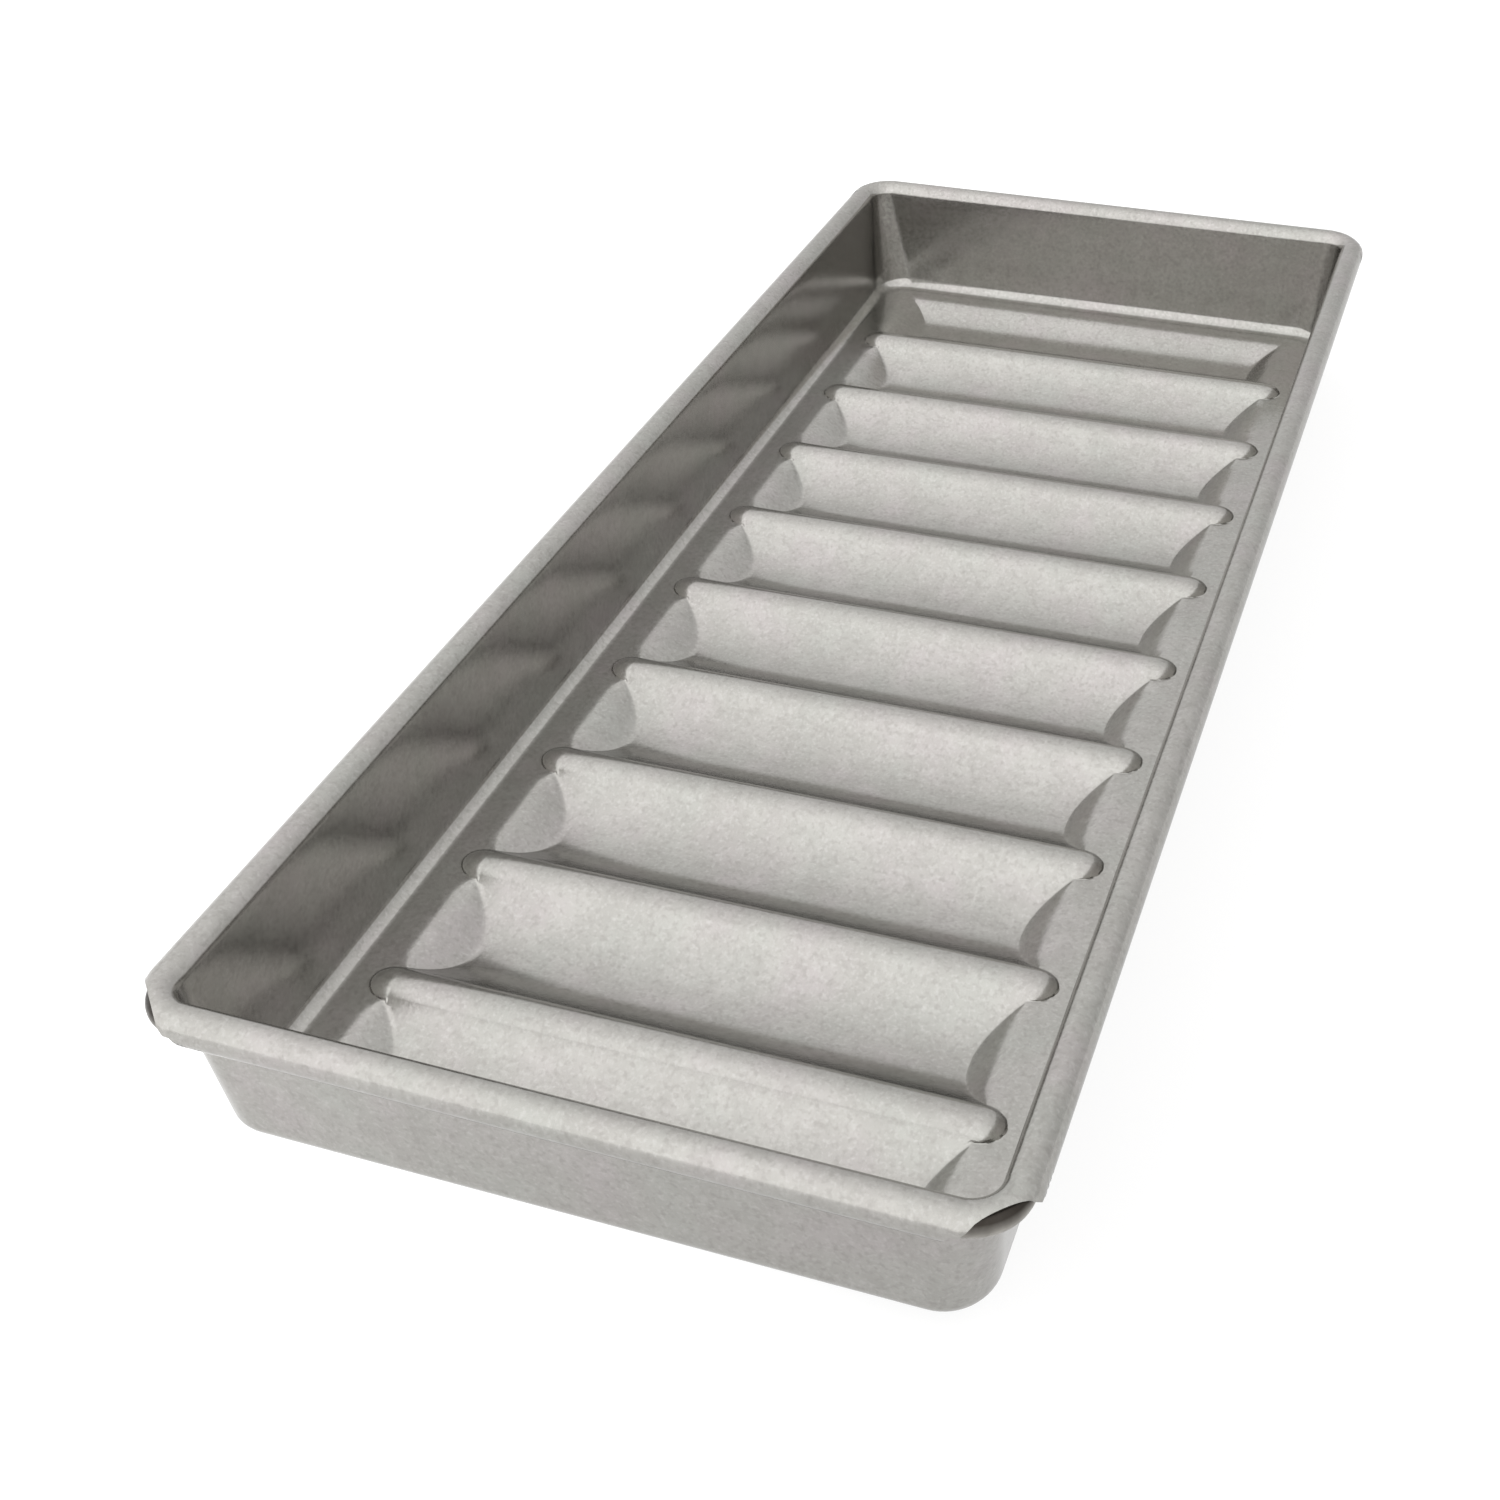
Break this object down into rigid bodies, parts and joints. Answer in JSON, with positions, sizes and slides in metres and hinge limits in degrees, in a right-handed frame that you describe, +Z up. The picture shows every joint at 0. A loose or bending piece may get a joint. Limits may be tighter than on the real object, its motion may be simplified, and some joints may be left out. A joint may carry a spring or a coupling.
{
  "type": "channelled baking pan",
  "caption": "Long shallow baking pan with rounded channels pressed across its floor, sloping walls and a rim rolled over a wire.",
  "frame": {"origin": "middle of the plane that the channel bottoms stand on", "axes": "+Z up out of the pan's mouth, +Y along the pan from channel to channel, +X across it along the channels"},
  "size_m": [0.1714, 0.41, 0.0415],
  "materials": {
    "aluminised_sheet": "matt, finely speckled aluminium-coated steel sheet",
    "rim_wire": "plain drawn steel wire, dull"
  },
  "bodies": {
    "root": {"pan": "aluminised_sheet", "rim_wire": "rim_wire"}
  },
  "joints": []
}
